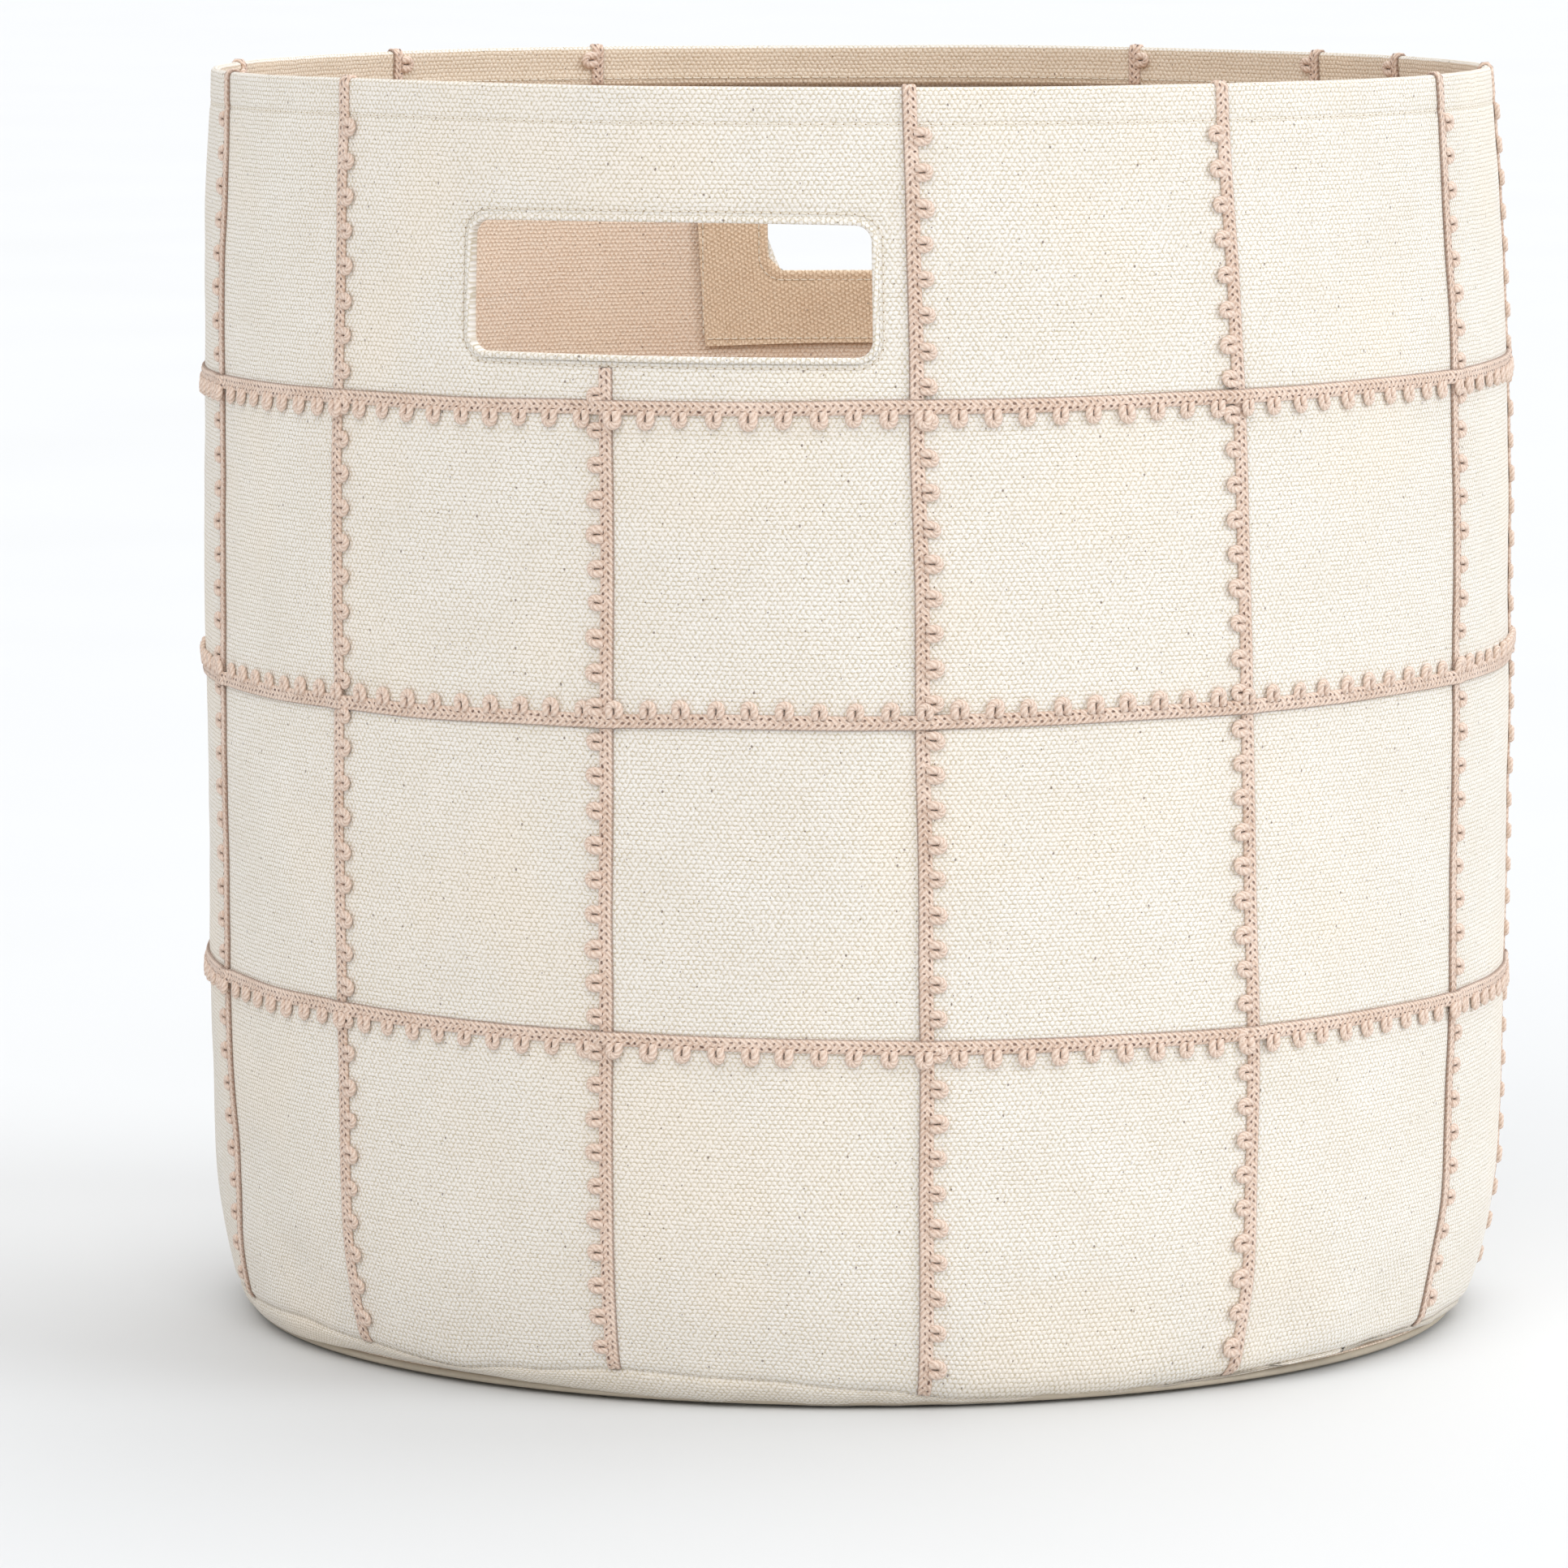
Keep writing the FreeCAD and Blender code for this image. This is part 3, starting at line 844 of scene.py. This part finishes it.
def sew(target, shape, line, starts, onto, jitter=0.0, seed=1):
    """Sets copies of a small mesh along a line and wraps each with onto(along, up, lift)."""
    at, _ = line
    draws = random.Random(seed)
    for start in starts:
        first = len(target.verts)
        target.from_mesh(shape)
        target.verts.ensure_lookup_table()
        size = 1 + draws.uniform(-1, 1) * jitter
        tilt = draws.uniform(-1, 1) * jitter * 1.3
        slip = draws.uniform(-1, 1) * jitter * 2 * MM
        spot, heading = at(start + slip)
        side = Vector((-heading.y, heading.x))
        for vert in target.verts[first:]:
            x, y, lift = vert.co * size
            x += y * tilt
            flat = spot + heading * x + side * y
            vert.co = onto(flat.x, flat.y, lift)


def spaced(length, pitch, margin=0.0):
    """Starts of copies along a length, at about the pitch."""
    count = max(1, round((length - 2 * margin) / pitch))
    return [margin + (length - 2 * margin) * (i + 0.5) / count for i in range(count)]


# %% [markdown]
# ## Thread
#
# A stitch is a short length of twisted cotton, pulled into the cloth at both ends. A stretched
# ball with few faces is enough at its size, with a small dark disc in the gap between two: painted
# shade where the thread dives into its needle hole.

# %% Stitches
thread = Finish("sewing thread")
place = thread.add("ShaderNodeTexCoord", {}, {}, "Object")
twist = thread.cloud(place, 2600.0, 1.0)
thread_finish = thread.connect(
    Base_Color=thread.mix(twist, (0.70, 0.62, 0.50, 1), (0.90, 0.85, 0.76, 1)),
    Roughness=thread.grade(twist, 0.3, 0.7, 0.8, 0.6),
    Normal=thread.bumped(twist, 0.0001),
    Sheen_Weight=0.1,
)
# Painted shade: the needle holes are small dark discs in the colour of the shade inside a hole.
needle_hole_shade = Finish("needle hole shade")
place = needle_hole_shade.add("ShaderNodeTexCoord", {}, {}, "Object")
shade = needle_hole_shade.cloud(place, 900.0, 1.0)
needle_hole_shade_finish = needle_hole_shade.connect(
    Base_Color=needle_hole_shade.mix(shade, (0.26, 0.17, 0.09, 1), (0.48, 0.36, 0.22, 1)),
    Roughness=needle_hole_shade.grade(shade, 0.3, 0.7, 0.9, 1.0),
)


def stitch(length):
    """One stitch and, at its end, a small dark disc of painted shade for its needle hole."""
    shape = bmesh.new()
    bmesh.ops.create_uvsphere(shape, u_segments=6, v_segments=5, radius=1.0)
    bmesh.ops.rotate(
        shape, verts=shape.verts, matrix=Matrix.Rotation(math.pi / 2, 3, "Y")
    )
    bmesh.ops.scale(shape, verts=shape.verts, vec=(length * 0.43, 0.27 * MM, 0.26 * MM))
    made = bmesh.ops.create_circle(shape, cap_ends=True, segments=6, radius=0.25 * MM)["verts"]
    bmesh.ops.translate(shape, verts=made, vec=(length / 2, 0, 0.05 * MM))
    # The disc at the stitch's end takes the painted needle-hole shade.
    for face in {f for v in made for f in v.link_faces}:
        face.material_index = 1
    mesh = bpy.data.meshes.new("stitch")
    shape.to_mesh(mesh)
    shape.free()
    return mesh


def stitching(name, node, runs):
    """A piece of stitching from runs of (line, stitch length, margin, onto)."""
    rows = bmesh.new()
    for number, (line, length, margin, onto) in enumerate(runs):
        shape = stitch(length)
        sew(rows, shape, line, spaced(line[1], length, margin), onto, 0.05, number)
        bpy.data.meshes.remove(shape)
    return finish_piece(rows, name, [node], [thread_finish, needle_hole_shade_finish])


HEM_STITCH_LENGTH = 3.3 * MM
SLOT_STITCH_LENGTH = 2.8 * MM
FACING_STITCH_LENGTH = 2.9 * MM
SEAM_STITCH_LENGTH = 3.2 * MM
SUNK = 0.2 * MM  # how far the thread is pulled into the cloth


def facing_row_outside(x, z, lift):
    return on_canvas(x, z, lift - SUNK / 2)


def facing_row_inside(x, z, lift):
    return in_wall(x, z, WALL + 0.3 * MM + lift)


around = straight((closing - ROUND, HEM_STITCH), (closing, HEM_STITCH))
hem_inside = TURN_END + TURN_START - HEM_STITCH
around_inside = straight((closing - ROUND, hem_inside), (closing, hem_inside))
stitching(
    "hem_stitches",
    "rim_stitching",
    [
        (around, HEM_STITCH_LENGTH, 0.0, on_canvas),
        (around_inside, HEM_STITCH_LENGTH, 0.0, lambda x, z, lift: on_canvas(x, z, lift + 0.05 * MM)),
    ],
)
for handle, azimuth in HANDLES.items():
    middle = azimuth * BELLY_RADIUS
    ring = slot_line(middle, TOPSTITCH)
    stitching(
        f"{handle}_slot_topstitches",
        f"{handle}_handle_stitching",
        [
            (ring, SLOT_STITCH_LENGTH, 0.0, lambda x, z, lift: on_canvas(x, z, lift - SUNK)),
            (ring, SLOT_STITCH_LENGTH, 0.0, lambda x, z, lift: in_wall(x, z, WALL - SUNK + lift)),
        ],
    )
    half = SLOT_WIDTH / 2 + FACING_MARGIN - FACING_STITCH
    low = FACING_BOTTOM + slot_rise(middle) + FACING_STITCH
    high = FACING_TOP - FACING_STITCH
    left, right = middle - half, middle + half
    corners = [(left, high), (left, low), (right, low), (right, high)]
    runs = []
    for a, b in zip(corners, corners[1:] + corners[:1]):
        edge = straight(a, b)
        if low in (a[1], b[1]):  # only the upper edge's row doesn't show on the outside
            runs.append((edge, FACING_STITCH_LENGTH, 1 * MM, facing_row_outside))
        runs.append((edge, FACING_STITCH_LENGTH, 1 * MM, facing_row_inside))
    stitching(f"{handle}_facing_stitches", f"{handle}_facing_stitching", runs)

seam_line = straight((closing - ROUND, SEAM_HEIGHT), (closing, SEAM_HEIGHT))
stitching(
    "base_seam_stitches",
    "base_seam_stitching",
    [(seam_line, SEAM_STITCH_LENGTH, 0.0, lambda x, z, lift: on_canvas(x, z, lift - SUNK))],
)

# %% [markdown]
# ## Picot tape
#
# The tape is knitted: a flat band of chain stitches with two rows of small eyelets, and along one
# edge a loop of thicker yarn every centimetre or so. The band is a closed strip wrapped along its
# line. A loop is a bent tube: two legs that come out of the band side by side and a round tip. They
# nearly touch, which leaves the dark slit down each loop's middle.

# %% Tape finish
YARN_LIGHT = (0.93, 0.76, 0.65, 1)
YARN_DARK = (0.57, 0.385, 0.28, 1)
yarn = Finish("braid yarn")
x, y = yarn.cloth_place()
strands = ((x * 0.8 + y.math("ABSOLUTE") * 0.9) * math.pi * 1.3).math("SINE") * 0.5 + 0.5
fuzz = yarn.cloud(yarn.point(x, y), 2.2, 3.0, 0.65)
drift = yarn.cloud(yarn.point(x, y, 5.0), 0.06, 2.0)
EYELET_PITCH = 2.6  # mm


def eyelets(offset, slip):
    """A row of small eyelets along the band, 1 in each eyelet's middle: the mask for the painted shade
    in the eyelets and for their dip.
    """
    wobble = (yarn.cloud(yarn.point(x, y, 11.0 + offset), 0.55, 1.0) - 0.5) * 2.2
    along = (((x + slip + wobble) / EYELET_PITCH).math("FRACT") - 0.5) * EYELET_PITCH
    across = (y + wobble * 0.3) - offset
    distance = (along * along + across * across * 1.3).math("SQRT")
    return 1 - yarn.grade(distance, 0.16, 0.62)


# Painted shade: the eyelets, and a line along the band's edge away from the loops where the edge stands
# off the canvas, are darkened almost to black-brown.
eyelet_and_edge_shade = eyelets(1.05, 0.0).math("MAXIMUM", eyelets(-0.6, 1.3) * 0.8)
eyelet_and_edge_shade = eyelet_and_edge_shade.math("MAXIMUM", (1 - yarn.grade(y + fuzz * 0.5, -1.95, -1.55)) * 0.6)
tone = yarn.grade(fuzz * 0.9 + drift * 0.4 + strands * 0.3, 0.42, 1.12)
colour = yarn.mix(tone, YARN_DARK, YARN_LIGHT)
colour = yarn.mix(eyelet_and_edge_shade * 0.9, colour, (0.13, 0.05, 0.03, 1))
yarn_finish = yarn.connect(
    Base_Color=colour,
    Roughness=yarn.grade(fuzz, 0.2, 0.8, 0.92, 0.78),
    Normal=yarn.bumped(strands * 0.55 + fuzz * 0.5 - eyelet_and_edge_shade * 1.2, 0.00035),
    Sheen_Weight=0.2,
    Sheen_Roughness=0.5,
    Specular_IOR_Level=0.2,
)
print("yarn finish", len(yarn.tree.nodes), "nodes")

# %% The loop
TAPE_BAND = 4.5 * MM
TAPE_THICKNESS = 1.15 * MM
PICOT_PITCH = 10.5 * MM
LOOP_SIDES = 6


def loop_shape():
    """One picot loop, out from the band's edge at y = 0."""
    leg, radius, thick, flat = 1.4 * MM, 1.45 * MM, 1.28 * MM, 0.95 * MM
    turns = [math.radians(a) for a in (-90, -58, -28, 0, 28, 58, 90)]
    spine = [Vector((-1.25 * MM, -1.0 * MM)), Vector((-leg, 0.5 * MM))]
    spine += [Vector((math.sin(a) * radius, 1.75 * MM + math.cos(a) * radius)) for a in turns]
    spine += [Vector((leg, 0.5 * MM)), Vector((1.25 * MM, -1.0 * MM))]
    tube = bmesh.new()
    uv = tube.loops.layers.uv.new("UVMap")
    bmesh.ops.create_grid(tube, x_segments=len(spine) - 1, y_segments=LOOP_SIDES, size=0.5)
    places = {}
    for vert in tube.verts:
        step = round((vert.co.x + 0.5) * (len(spine) - 1))
        side = (vert.co.y + 0.5) * 2 * math.pi
        places[vert] = (step, side)
    for face in tube.faces:
        for loop in face.loops:
            step, side = places[loop.vert]
            loop[uv].uv = (step * 1.2 * MM, (side - math.pi) * 0.9 * MM + 0.012)
    for vert, (step, side) in places.items():
        before, after = spine[max(step - 1, 0)], spine[min(step + 1, len(spine) - 1)]
        heading = (after - before).normalized()
        out = Vector((heading.y, -heading.x))
        spot = spine[step] + out * (math.cos(side) * thick)
        rise = 0.25 * MM * min(1.0, max(0.0, spine[step].y / (2 * MM)))
        vert.co = (spot.x, spot.y, flat * 0.95 + rise + math.sin(side) * flat)
    bmesh.ops.remove_doubles(tube, verts=tube.verts, dist=1e-6)
    bmesh.ops.holes_fill(tube, edges=[e for e in tube.edges if e.is_boundary], sides=0)
    bmesh.ops.recalc_face_normals(tube, faces=tube.faces)
    mesh = bpy.data.meshes.new("picot loop")
    tube.to_mesh(mesh)
    tube.free()
    return mesh


picot = loop_shape()
print("one loop", len(picot.polygons), "faces")

# %% [markdown]
# ## Columns and rows
#
# Upright tapes run from the base seam over the rim to the hem's edge, except the two that would
# cross a slot, which start below it. They stand a little off the even spacing, as hand-placed
# tapes do, and some drift sideways on their way down. The three level tapes are sewn last, so each
# rises over every column that it crosses. Their loops point down, up and down again.

# %% Tapes
SECTION = (  # across the band, lift, in mm: over the top and back underneath
    (-2.25, 0.3), (-2.0, 0.9), (-1.1, 1.15), (0.0, 1.0), (1.1, 1.15), (2.0, 0.9),
    (2.25, 0.3), (1.4, -0.05), (-1.4, -0.05), (-2.25, 0.3),
)
COLUMNS = (  # azimuth at mid height, drift from top to foot in degrees, side of the loops
    (-55.9, 0.0, -1), (-33.0, 0.0, 1), (-5.0, -0.4, -1), (21.4, 1.4, 1), (50.3, 3.2, -1),
    (78.8, 0.5, 1), (106.0, 0.8, -1), (133.4, 0.6, 1), (145.8, 0.6, 1), (167.4, 0.3, -1),
    (195.0, 0.4, -1), (221.6, 0.8, 1), (244.9, 0.6, -1), (274.6, 0.4, 1),
)
ROW_LEVELS = (  # name, height of the band, side of the loops, tilt across the main view
    ("upper", HEIGHT - 95.0 * MM, -1, 2.2 * MM),
    ("middle", HEIGHT - 189.1 * MM, 1, 2.2 * MM),
    ("lower", HEIGHT - 286.9 * MM, -1, -1.6 * MM),
)


def wander(distance, seed):
    """The small sideways wander of a tape sewn by hand."""
    return 0.5 * MM * noise.noise(Vector((distance / 0.045, seed * 3.7, 2.0)))


def column_line(azimuth, drift, seed):
    """Flat x of a column at a height on the canvas."""

    def at(travel):
        height = travel if travel < HEIGHT else 2 * HEIGHT - travel
        share = 0.5 - min(height, HEIGHT) / HEIGHT
        middle = math.radians(azimuth + drift * share) * BELLY_RADIUS
        return middle + wander(travel, seed)

    return at


def under_a_slot(azimuth):
    half = SLOT_WIDTH / 2 + 1 * MM
    return any(
        abs(turn_between(math.radians(azimuth), a)) * BELLY_RADIUS < half for a in HANDLES.values()
    )


def strip(shape, length, start, loops):
    """A closed band along x from start, wrapped by shape(along, across, lift)."""
    count = max(2, round(length / (1.3 * MM)))
    xs = [start + length * i / count for i in range(count + 1)]
    band = flat_grid(xs, list(range(len(SECTION))))
    uv = band.loops.layers.uv.verify()
    for face in band.faces:
        for loop in face.loops:
            across = SECTION[round(loop.vert.co.z)][0]
            loop[uv].uv = (loop.vert.co.x, across * loops * MM)
    for vert in band.verts:
        across, lift = SECTION[round(vert.co.z)]
        scallop = 1 + 0.05 * math.sin(vert.co.x / (2.6 * MM) * 2 * math.pi)
        rib = 0.06 * math.sin(vert.co.x / (2.6 * MM) * 2 * math.pi + across * 2)
        vert.co = shape(vert.co.x, across * MM * scallop, (lift + rib * (lift > 0.5)) * MM)
    return band


def closed(band):
    """The band with its section joined and its ends filled, ready for loops to be added."""
    bmesh.ops.remove_doubles(band, verts=band.verts, dist=1e-6)
    ends = [e for e in band.edges if e.is_boundary]
    bmesh.ops.holes_fill(band, edges=ends, sides=0)
    mesh = bpy.data.meshes.new("band")
    band.to_mesh(mesh)
    band.free()
    fresh = bmesh.new()
    fresh.from_mesh(mesh)
    bpy.data.meshes.remove(mesh)
    return fresh


def raised(along, height):
    """Lift of a row where it passes over the columns."""
    lift = 0.0
    for number, (azimuth, drift, _) in enumerate(COLUMNS):
        x = column_line(azimuth, drift, number)(height)
        gap = turn_between(along / BELLY_RADIUS, x / BELLY_RADIUS) * BELLY_RADIUS
        lift = max(lift, bump(max(0.0, abs(gap) - 2.0 * MM), 2.4 * MM))
    return lift * TAPE_THICKNESS


for number, (azimuth, drift, loops) in enumerate(COLUMNS):
    line = column_line(azimuth, drift, number)
    top = HEM_EDGE - 0.6 * MM
    if under_a_slot(azimuth):
        top = SLOT_MIDDLE - SLOT_HEIGHT / 2 - TOPSTITCH - 0.4 * MM
    band = strip(
        lambda x, across, lift, line=line: on_canvas(line(x) + across, x, lift),
        top - SEAM_HEIGHT,
        SEAM_HEIGHT,
        loops,
    )
    band = closed(band)

    def onto(x, z, lift, line=line):
        return on_canvas(line(z) + x, z, lift)

    edge = TAPE_BAND / 2 - 0.3 * MM
    rise = straight((loops * edge, SEAM_HEIGHT), (loops * edge, top))
    if loops > 0:
        rise = straight((edge, top), (edge, SEAM_HEIGHT))
    starts = spaced(rise[1], PICOT_PITCH, 3 * MM)
    turn = [s for s in starts if not TURN_START - 3 * MM < rise[0](s)[0].y < TURN_END + 3 * MM]
    sew(band, picot, rise, turn, onto, 0.08, 100 + number)
    node = f"tape_column_{number + 1:02d}"
    finish_piece(band, f"picot_column_{number + 1:02d}", [node], [yarn_finish])

for number, (name, level, loops, tilt) in enumerate(ROW_LEVELS):

    def height_at(x, level=level, tilt=tilt, number=number):
        seen = turn_between(x / BELLY_RADIUS, EYE_AZIMUTH)
        return level + tilt * math.sin(seen) + wander(x, 20 + number)

    def on_row(x, across, lift, height_at=height_at):
        height = height_at(x)
        return on_canvas(x, height + across, lift + raised(x, height))

    band = closed(strip(on_row, ROUND, closing - ROUND, loops))
    edge = TAPE_BAND / 2 - 0.3 * MM
    run = straight((closing - ROUND, loops * edge), (closing, loops * edge))
    if loops < 0:
        run = straight((closing, loops * edge), (closing - ROUND, loops * edge))
    starts = spaced(ROUND, PICOT_PITCH)
    sew(band, picot, run, starts, on_row, 0.08, 200 + number)
    finish_piece(band, f"picot_row_{name}", [f"tape_row_{name}"], [yarn_finish])

# %% [markdown]
# ## Floor, light and camera
#
# The bin stands on a plain pale floor that runs back out of sight. Even light from all round keeps
# the shadows soft. Three wide suns shape it: one from the right models the round of the wall and
# reaches the inside of the rim, one from the front lifts the wall's tone, and one from above and
# behind draws the soft shadow in front of the base. Suns light the far floor as much as the near
# floor, so the ground stays even. The camera is far off with a long lens, a little above the rim,
# so the rim's inside just shows over its front edge.

# %% Floor
floor = Finish("pale floor")
place = floor.add("ShaderNodeTexCoord", {}, {}, "Object")
grain = floor.cloud(place, 3.0, 2.0)
floor_finish = floor.connect(
    Base_Color=floor.mix(grain, (0.72, 0.73, 0.74, 1), (0.735, 0.745, 0.755, 1)),
    Roughness=floor.grade(grain, 0.2, 0.8, 0.6, 0.7),
)
ground = bmesh.new()
bmesh.ops.create_circle(ground, cap_ends=True, segments=64, radius=60)
bmesh.ops.translate(ground, verts=ground.verts, vec=(0, 0, -0.0004))
mesh = bpy.data.meshes.new("floor")
ground.to_mesh(mesh)
ground.free()
mesh.materials.append(floor_finish)
floor_object = bpy.data.objects.new("floor", mesh)
bpy.context.scene.collection.objects.link(floor_object)
print("floor", round(floor_object.dimensions.x), "m across")

# %% Light
scene = bpy.context.scene
world = bpy.data.worlds.new("studio")
world.use_nodes = True
world.node_tree.nodes["Background"].inputs["Color"].default_value = (0.985, 0.99, 1.0, 1)
world.node_tree.nodes["Background"].inputs["Strength"].default_value = 0.66
scene.world = world
scene.view_settings.view_transform = "Standard"


def soft_sun(name, azimuth, elevation, spread, strength, colour):
    """Soft light from a wide patch of sky, at an azimuth from the main view, in degrees."""
    data = bpy.data.lights.new(name, "SUN")
    data.angle = math.radians(spread)
    data.energy = strength * math.pi
    data.color = colour
    lamp = bpy.data.objects.new(name, data)
    angle, rise = EYE_AZIMUTH + math.radians(azimuth), math.radians(elevation)
    away = Vector(
        (math.sin(angle) * math.cos(rise), -math.cos(angle) * math.cos(rise), math.sin(rise))
    )
    lamp.location = away * 3
    lamp.rotation_euler = away.to_track_quat("Z", "Y").to_euler()
    scene.collection.objects.link(lamp)
    return lamp


soft_sun("key", 72, 26, 30, 0.36, (0.94, 0.975, 1.0))
soft_sun("front", -14, 46, 50, 0.34, (1.0, 0.99, 0.965))
soft_sun("top", 150, 58, 50, 0.36, (1.0, 1.0, 1.0))

# %% Camera
EYE_DISTANCE = 2.7213
EYE_HEIGHT = 0.4904
EYE_PITCH = math.radians(6.763)
EYE_TURN = math.radians(0.4709)
eye_data = bpy.data.cameras.new("camera")
eye_data.sensor_width = 36.0
eye_data.lens = 194.26
eye_data.clip_end = 200
eye = bpy.data.objects.new("camera", eye_data)
eye.location = (
    EYE_DISTANCE * math.sin(EYE_AZIMUTH), -EYE_DISTANCE * math.cos(EYE_AZIMUTH), EYE_HEIGHT
)
eye.rotation_euler = (math.pi / 2 - EYE_PITCH, 0, EYE_AZIMUTH + EYE_TURN)
scene.collection.objects.link(eye)
scene.camera = eye
